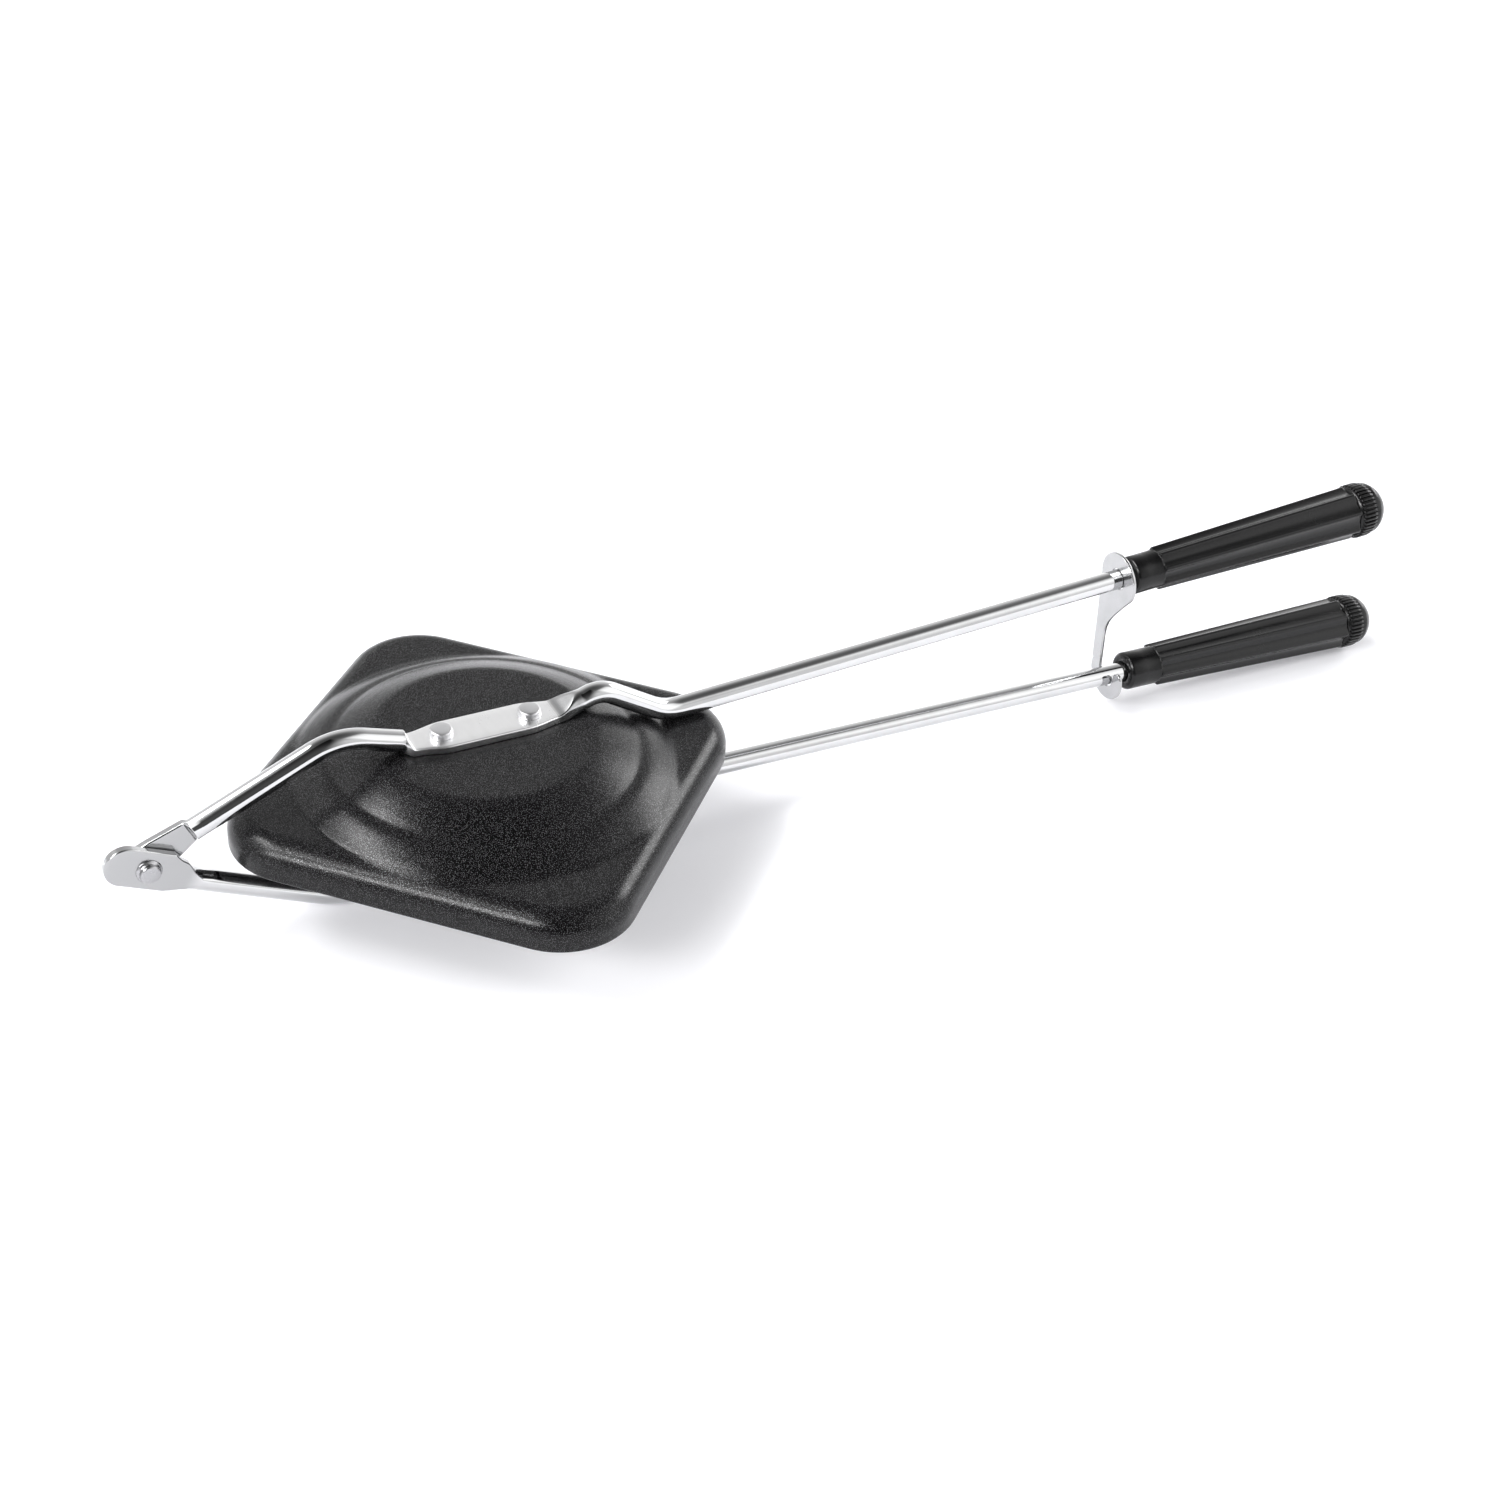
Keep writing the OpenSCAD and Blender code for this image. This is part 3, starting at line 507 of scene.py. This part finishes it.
class Nodes:
    """The node tree of a material or a world, with short ways to add nodes to it."""

    def __init__(self, owner):
        owner.use_nodes = True
        self.owner, self.tree = owner, owner.node_tree

    def put(self, socket, value):
        """Link a socket or set its value; a colour gets an alpha of 1."""
        if isinstance(value, bpy.types.NodeSocket):
            self.tree.links.new(value, socket)
        else:
            socket.default_value = (*value, 1) if socket.type == "RGBA" else value

    def add(self, kind, inputs, **props):
        """A new node with its properties set, then its inputs, which are named or numbered."""
        node = self.tree.nodes.new(kind)
        for key, value in props.items():
            setattr(node, key, value)
        for key, value in inputs.items():
            self.put(node.inputs[key], value)
        return node

    def coords(self, space):
        return self.add("ShaderNodeTexCoord", {}).outputs[space]

    def noise(self, scale, detail, rough, stretch=None):
        place = self.coords("Object")
        if stretch:
            place = self.add("ShaderNodeMapping", {"Vector": place, "Scale": stretch}).outputs["Vector"]
        inputs = {"Vector": place, "Scale": scale, "Detail": detail, "Roughness": rough}
        return self.add("ShaderNodeTexNoise", inputs).outputs["Fac"]

    def spots(self, scale, radius):
        """Round specks, 1 at their middle, and a colour of its own for each."""
        node = self.add("ShaderNodeTexVoronoi", {"Vector": self.coords("Object"), "Scale": scale})
        return self.ramp(node.outputs["Distance"], 0, radius, 1, 0), node.outputs["Color"]

    def ramp(self, value, low, high, at_low, at_high, kind="LINEAR"):
        inputs = dict(enumerate((value, low, high, at_low, at_high)))
        return self.add("ShaderNodeMapRange", inputs, interpolation_type=kind).outputs[0]

    def vary(self, noise, low, high):
        """A value that follows a noise from low to high."""
        return self.ramp(noise, 0.3, 0.7, low, high)

    def math(self, op, *values):
        return self.add("ShaderNodeMath", dict(enumerate(values)), operation=op).outputs[0]

    def vector(self, op, *values, **named):
        return self.add("ShaderNodeVectorMath", {**dict(enumerate(values)), **named}, operation=op).outputs["Vector"]

    def dot(self, v, direction):
        return self.add("ShaderNodeVectorMath", {0: v, 1: direction}, operation="DOT_PRODUCT").outputs["Value"]

    def mix(self, factor, a, b):
        return self.add("ShaderNodeMix", {0: factor, 6: a, 7: b}, data_type="RGBA").outputs[2]

    def bump(self, height, strength, distance):
        inputs = {"Height": height, "Strength": strength, "Distance": distance}
        return self.add("ShaderNodeBump", inputs).outputs["Normal"]

    def surface(self, **sockets):
        """Set the shader's sockets, and return the material."""
        for key, value in sockets.items():
            self.put(self.tree.nodes["Principled BSDF"].inputs[key.replace("_", " ")], value)
        return self.owner


def new_material(name):
    return Nodes(bpy.data.materials.new(name))


def coating():
    """Nonstick coat: near black, with a fine grain and small metallic flecks that lean each their own way."""
    n = new_material("nonstick_coating")
    grain, patch = n.noise(1900, 1, 0.5), n.noise(28, 3, 0.55)
    fleck, tint = n.spots(3300, 0.3)
    base = n.mix(n.vary(patch, 0, 1), (0.003, 0.003, 0.0033), (0.0042, 0.0042, 0.0046))
    off = n.vector("SUBTRACT", tint, (0.5, 0.5, 0.5))
    lean = n.vector("SCALE", off, Scale=n.math("MULTIPLY", fleck, 0.24))
    normal = n.vector("NORMALIZE", n.vector("ADD", n.bump(grain, 1.0, 0.000042), lean))
    return n.surface(Base_Color=n.mix(fleck, base, (0.36, 0.36, 0.37)), Metallic=n.math("MULTIPLY", fleck, 0.8),
                     Roughness=n.math("ADD", n.vary(grain, 0.22, 0.27), n.vary(patch, -0.02, 0.02)),
                     Normal=normal, IOR=1.5, Specular_IOR_Level=0.19)


def chrome():
    """Chrome plate: bright on the round bar; satin on the ears, with a darker base colour painted on as shade; satin on
    the strip, with a pale base colour painted on as highlight.
    """
    n = new_material("chrome_plate")
    mark = n.add("ShaderNodeAttribute", {}, attribute_name="stamp_and_painted_tone").outputs["Fac"]
    haze, scuff = n.noise(60, 4, 0.6), n.noise(420, 3, 0.6, (1, 0.3, 1))
    bright = n.mix(n.vary(haze, 0, 1), (0.54, 0.542, 0.546), (0.6, 0.602, 0.608))
    # Painted shade: the ears are the same chrome, given a darker base colour.
    ear_painted_shade = n.mix(n.ramp(mark, 0, EAR_MARK, 0, 1), bright, (0.405, 0.407, 0.412))
    # Painted highlight: the strip is the same chrome, given a pale base colour.
    strip_painted_highlight = n.mix(n.vary(scuff, 0, 1), (0.89, 0.89, 0.895), (0.93, 0.93, 0.935))
    rough = n.math("MULTIPLY", n.ramp(scuff, 0.3, 0.75, 0.22, 0.26), mark)
    return n.surface(Base_Color=n.mix(n.ramp(mark, EAR_MARK, STRIP_MARK, 0, 1), ear_painted_shade, strip_painted_highlight), Metallic=1.0,
                     Roughness=n.math("ADD", n.ramp(haze, 0.35, 0.7, 0.04, 0.08), rough),
                     Normal=n.bump(haze, 0.06, 0.0006))


def steel(name, low, high, tone, grain_scale, stretch=None):
    """Plain steel of a tone, with its roughness from low to high."""
    n = new_material(name)
    grain, cloud = n.noise(grain_scale, 4, 0.6, stretch), n.noise(90, 3, 0.6)
    return n.surface(Base_Color=n.mix(n.vary(cloud, 0, 1), tone, tuple(min(1.0, c * 1.18) for c in tone)),
                     Metallic=1.0, Roughness=n.math("ADD", n.vary(grain, low, high), n.vary(cloud, -0.04, 0.05)),
                     Normal=n.bump(grain, 0.03, 0.0003))


def bakelite():
    n = new_material("bakelite")
    grain, cloud = n.noise(700, 3, 0.55), n.noise(45, 3, 0.5)
    return n.surface(Base_Color=n.mix(n.vary(cloud, 0, 1), (0.003, 0.003, 0.0032), (0.0042, 0.0042, 0.0044)),
                     Roughness=n.math("ADD", n.vary(grain, 0.2, 0.25), n.vary(cloud, -0.03, 0.04)),
                     Normal=n.bump(grain, 0.18, 0.0002), Specular_IOR_Level=0.3)


def brass():
    n = new_material("turned_brass")
    lines = n.noise(1200, 2, 0.5, (3, 0.2, 0.2))
    return n.surface(Base_Color=n.mix(n.vary(lines, 0, 1), (0.5, 0.36, 0.13), (0.62, 0.46, 0.19)), Metallic=1.0,
                     Roughness=n.vary(lines, 0.22, 0.34))


coat, plated, moulded, turned_brass = coating(), chrome(), bakelite(), brass()
rivet_steel = steel("rivet_steel", 0.3, 0.38, (0.55, 0.55, 0.56), 700)
pin_steel = steel("pin_steel", 0.22, 0.3, (0.36, 0.36, 0.37), 700)
hook_steel = steel("hook_steel", 0.16, 0.24, (0.41, 0.412, 0.418), 500, (0.3, 1.0, 0.2))

# ---- Pieces ----

plate("top_plate", PLATE_SIDE, CORNER_R, -SKIRT_DROP, "upper_half", "upper_plate", False, coat)
plate("bottom_plate", PLATE_SIDE - 2 * NEST, CORNER_R - NEST, -SKIRT_RISE, "lower_half", "lower_plate", True, coat)
rod("top_rod", UPPER, "upper_half", "upper_rod", False, plated)
rod("bottom_rod", LOWER, "lower_half", "lower_rod", True, plated)
grip("top_grip", UPPER, "upper_half", "upper_grip", False, moulded)
grip("bottom_grip", LOWER, "lower_half", "lower_grip", True, moulded)
cap("top_cap", UPPER, "upper_half", "upper_end_cap", False, moulded)
cap("bottom_cap", LOWER, "lower_half", "lower_end_cap", True, moulded)
hook(hook_steel)
for name, body, node, up in (("top_rivets", "upper_half", "upper_plate_rivets", 1),
                             ("bottom_rivets", "lower_half", "lower_plate_rivets", -1)):
    seats = [((x, 0, up * (DISC_Z + FLAT_T)), (0, 0, up), (x, 0, up * (DISC_Z - SHEET_T))) for x in (-RIVET_X, RIVET_X)]
    turned(name, BUTTON, TAIL, seats, body, node, rivet_steel)
turned("hinge_pin", PIN_HEAD, PEEN, [((PIN[0], PIN_HEAD_Y, 0), (0, -1, 0), (PIN[0], PIN_TAIL_Y, 0))],
       "lower_half", "hinge_rivet", pin_steel)

# The solids wear the same materials, also those that a piece replaces.
for material, nodes in (
        (coat, ("upper_plate", "lower_plate")),
        (plated, ("upper_rod", "lower_rod")),
        (moulded, ("upper_grip", "lower_grip", "upper_end_cap", "lower_end_cap")),
        (rivet_steel, ("upper_plate_rivets", "lower_plate_rivets", "hinge_rivet", "hinge_washer", "upper_washer",
                       "lower_washer")),
        (hook_steel, ("latch_hook",)),
        (turned_brass, ("upper_cap_insert", "lower_cap_insert"))):
    for node in nodes:
        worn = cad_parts[node].data.materials
        worn.clear()
        worn.append(material)

# ---- Camera ----

yaw, dip, roll = (math.radians(a) for a in (YAW, DIP, ROLL))
ahead = Vector((math.sin(yaw) * math.cos(dip), math.cos(yaw) * math.cos(dip), -math.sin(dip)))
level_right = Vector((math.cos(yaw), -math.sin(yaw), 0))
level_up = level_right.cross(ahead)
right = math.cos(roll) * level_right + math.sin(roll) * level_up
up = math.cos(roll) * level_up - math.sin(roll) * level_right
lens = bpy.data.cameras.new("camera")
lens.sensor_width, lens.sensor_fit = 36, "HORIZONTAL"
lens.lens = FOCAL_PX / FRAME_PX * lens.sensor_width
lens.shift_x, lens.shift_y = (s / FRAME_PX for s in SHIFT_PX)
lens.clip_start, lens.clip_end = 0.01, 50
camera = bpy.data.objects.new("camera", lens)
placed = Matrix((right, up, -ahead)).transposed().to_4x4()
placed.translation = (Vector(CAMERA_AT) + Vector((SHIFT, 0, LIFT))) / 1000
camera.matrix_world = placed
bpy.context.scene.collection.objects.link(camera)
bpy.context.scene.camera = camera

# ---- Stage and light ----


def white_floor():
    """A matt floor that keeps the shadow and shows nearly white to camera, glossy and transmission rays."""
    half = FLOOR_SIZE / 2
    me = bpy.data.meshes.new("floor")
    me.from_pydata([(-half, -half, 0), (half, -half, 0), (half, half, 0), (-half, half, 0)], [], [(0, 1, 2, 3)])
    ob = bpy.data.objects.new("floor", me)
    bpy.context.scene.collection.objects.link(ob)
    ob.location = (0, 0, FLOOR_Z)
    n = new_material("floor")
    me.materials.append(n.surface(Base_Color=FLOOR_COLOUR, Roughness=0.9, Specular_IOR_Level=0.0))
    rays = n.add("ShaderNodeLightPath", {}).outputs
    shows = rays["Is Camera Ray"]
    for ray in ("Is Glossy Ray", "Is Transmission Ray"):
        shows = n.math("MAXIMUM", shows, rays[ray])
    glow = n.add("ShaderNodeEmission", {"Color": GLOW_COLOUR, "Strength": n.math("MULTIPLY", shows, GLOW)})
    both = n.add("ShaderNodeAddShader", {0: n.tree.nodes["Principled BSDF"].outputs[0], 1: glow.outputs[0]})
    n.put(n.tree.nodes["Material Output"].inputs["Surface"], both.outputs[0])


def toward(azimuth, elevation):
    a, e = math.radians(azimuth), math.radians(elevation)
    return Vector((math.cos(a) * math.cos(e), math.sin(a) * math.cos(e), math.sin(e)))


def panel(n, view, azimuth, elevation, half_w, half_h, soft, radiance):
    """A soft-edged panel of light in the studio; its sizes are in degrees."""
    c = toward(azimuth, elevation)
    u = Vector((0, 0, 1)).cross(c).normalized()
    depth = n.math("MAXIMUM", n.dot(view, c), 0.05)
    lit = radiance
    for axis, half in ((u, half_w), (c.cross(u), half_h)):
        off = n.math("ABSOLUTE", n.math("DIVIDE", n.dot(view, axis), depth))
        inside, outside = (math.tan(math.radians(half + s * soft / 2)) for s in (-1, 1))
        lit = n.math("MULTIPLY", n.ramp(off, inside, outside, 1, 0, "SMOOTHSTEP"), lit)
    return lit


def studio():
    """A room bright at the horizon and dim overhead and behind the camera, with the soft panels."""
    world = bpy.data.worlds.new("studio")
    bpy.context.scene.world = world
    n = Nodes(world)
    view = n.coords("Generated")
    room = n.math("ADD", n.ramp(n.dot(view, (0, 0, 1)), 0.4, 1.05, 0.92, 0.0, "SMOOTHSTEP"), 0.08)
    level = n.vector("NORMALIZE", n.vector("MULTIPLY", view, (1, 1, 0)))
    behind = n.dot(level, toward(BEHIND_CAMERA, 0))
    light = n.math("MULTIPLY", room, n.ramp(behind, 0.70, 0.93, 1, 0.1, "SMOOTHSTEP"))
    for row in PANELS:
        light = n.math("ADD", light, panel(n, view, *row))
    background = n.tree.nodes["Background"]
    n.put(background.inputs["Color"], (1, 1, 1))
    n.put(background.inputs["Strength"], light)


white_floor()
studio()
bpy.context.scene.view_settings.view_transform = "Standard"
